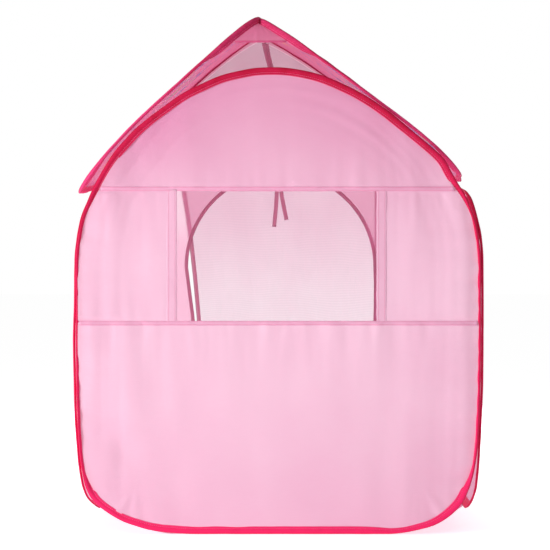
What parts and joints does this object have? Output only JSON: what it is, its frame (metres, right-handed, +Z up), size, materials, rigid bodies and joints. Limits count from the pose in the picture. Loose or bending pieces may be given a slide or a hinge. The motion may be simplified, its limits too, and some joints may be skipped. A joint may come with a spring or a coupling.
{
  "type": "play tent",
  "caption": "Fold-down pop-up play house tent: arched end walls with window and curtained doorway, side walls and gabled roof on spring-wire hoops.",
  "frame": {"origin": "on the floor under the middle of the tent's bounding box", "axes": "+Z up, -Y out through the back wall with its window, +Y out through the doorway, +X along the back wall to the right as seen from outside it"},
  "size_m": [0.836, 0.8, 1.0452],
  "materials": {
    "back_hoop_sleeve": "plain woven tape, satin",
    "back_hoop_wire": "flat spring steel, bare",
    "back_hoop_ferrule": "crimped, dull",
    "back_top_panel": "taffeta, slight sheen",
    "back_left_panel": "taffeta, slight sheen",
    "back_right_panel": "taffeta, slight sheen",
    "back_bottom_panel": "taffeta, slight sheen",
    "window_left_hem": "taffeta, slight sheen",
    "window_right_hem": "taffeta, slight sheen",
    "floor_sheet": "taffeta, slight sheen",
    "left_wall_sleeve": "plain woven tape, satin",
    "left_wall_wire": "flat spring steel, bare",
    "left_wall_ferrule": "crimped, dull",
    "left_wall_panel": "taffeta, slight sheen",
    "right_wall_sleeve": "plain woven tape, satin",
    "right_wall_wire": "flat spring steel, bare",
    "right_wall_ferrule": "crimped, dull",
    "right_wall_panel": "taffeta, slight sheen",
    "front_hoop_sleeve": "plain woven tape, satin",
    "front_hoop_wire": "flat spring steel, bare",
    "front_hoop_ferrule": "crimped, dull",
    "front_panel": "taffeta, slight sheen",
    "door_arch_binding": "plain woven tape, satin",
    "curtain_header": "plain woven tape, satin",
    "front_gable_net": "fine see-through voile net",
    "tie_ribbon_left": "soft narrow ribbon",
    "tie_ribbon_right": "soft narrow ribbon",
    "left_roof_sleeve": "plain woven tape, satin",
    "left_roof_wire": "flat spring steel, bare",
    "left_roof_ferrule": "crimped, dull",
    "left_roof_panel": "taffeta, slight sheen, printed",
    "back_gusset": "taffeta, slight sheen, printed",
    "right_roof_sleeve": "plain woven tape, satin",
    "right_roof_wire": "flat spring steel, bare",
    "right_roof_ferrule": "crimped, dull",
    "right_roof_panel": "taffeta, slight sheen, printed",
    "door_curtain": "fine see-through voile net",
    "curtain_left_binding": "plain woven tape, satin",
    "curtain_right_binding": "plain woven tape, satin",
    "curtain_hem_binding": "plain woven tape, satin"
  },
  "bodies": {
    "back_wall": {"back_hoop_sleeve": "back_hoop_sleeve", "back_hoop_wire": "back_hoop_wire", "back_hoop_ferrule": "back_hoop_ferrule", "back_top_panel": "back_top_panel", "back_left_panel": "back_left_panel", "back_right_panel": "back_right_panel", "back_bottom_panel": "back_bottom_panel", "window_left_hem": "window_left_hem", "window_right_hem": "window_right_hem", "floor_sheet": "floor_sheet"},
    "left_wall": {"left_wall_sleeve": "left_wall_sleeve", "left_wall_wire": "left_wall_wire", "left_wall_ferrule": "left_wall_ferrule", "left_wall_panel": "left_wall_panel"},
    "right_wall": {"right_wall_sleeve": "right_wall_sleeve", "right_wall_wire": "right_wall_wire", "right_wall_ferrule": "right_wall_ferrule", "right_wall_panel": "right_wall_panel"},
    "front_wall": {"front_hoop_sleeve": "front_hoop_sleeve", "front_hoop_wire": "front_hoop_wire", "front_hoop_ferrule": "front_hoop_ferrule", "front_panel": "front_panel", "door_arch_binding": "door_arch_binding", "curtain_header": "curtain_header", "front_gable_net": "front_gable_net", "tie_ribbon_left": "tie_ribbon_left", "tie_ribbon_right": "tie_ribbon_right"},
    "left_roof": {"left_roof_sleeve": "left_roof_sleeve", "left_roof_wire": "left_roof_wire", "left_roof_ferrule": "left_roof_ferrule", "left_roof_panel": "left_roof_panel", "back_gusset": "back_gusset"},
    "right_roof": {"right_roof_sleeve": "right_roof_sleeve", "right_roof_wire": "right_roof_wire", "right_roof_ferrule": "right_roof_ferrule", "right_roof_panel": "right_roof_panel"},
    "door_curtain": {"door_curtain": "door_curtain", "curtain_left_binding": "curtain_left_binding", "curtain_right_binding": "curtain_right_binding", "curtain_hem_binding": "curtain_hem_binding"}
  },
  "joints": [
    {"name": "left_wall_fold", "type": "hinge", "parent": "back_wall", "child": "left_wall", "pos_m": [-0.395, -0.393, 0], "axis": [0, 0, -1], "range_deg": [0, 75], "stiffness_Nm_per_rad": 0.6, "springref_deg": -17.19, "deforming": ["floor_sheet"]},
    {"name": "right_wall_fold", "type": "hinge", "parent": "back_wall", "child": "right_wall", "pos_m": [0.411, -0.393, 0], "axis": [0, 0, -1], "range_deg": [0, 75]},
    {"name": "front_wall_fold", "type": "hinge", "parent": "left_wall", "child": "front_wall", "pos_m": [-0.411, 0.3815, 0], "axis": [0, 0, 1], "range_deg": [0, 75], "deforming": ["front_gable_net"]},
    {"name": "left_roof_fold", "type": "hinge", "parent": "left_wall", "child": "left_roof", "pos_m": [-0.3975, 0, 0.6983], "axis": [0, -1, 0], "range_deg": [0, 36.38], "stiffness_Nm_per_rad": 1.5, "springref_deg": -17.19, "deforming": ["back_gusset"]},
    {"name": "right_roof_fold", "type": "hinge", "parent": "right_wall", "child": "right_roof", "pos_m": [0.386, 0, 0.7143], "axis": [0, 1, 0], "range_deg": [0, 42.6], "stiffness_Nm_per_rad": 1.5, "springref_deg": -17.19},
    {"name": "door_curtain_swing", "type": "hinge", "parent": "front_wall", "child": "door_curtain", "pos_m": [0, 0.391, 0.765], "axis": [1, 0, 0], "range_deg": [0, 100]}
  ],
  "couplings": [
    {"joint": "right_wall_fold", "follows": "left_wall_fold", "ratio": 1},
    {"joint": "front_wall_fold", "follows": "left_wall_fold", "ratio": 1},
    {"joint": "left_roof_fold", "follows": "left_wall_fold", "ratio": 0.485},
    {"joint": "right_roof_fold", "follows": "left_wall_fold", "ratio": 0.568}
  ]
}
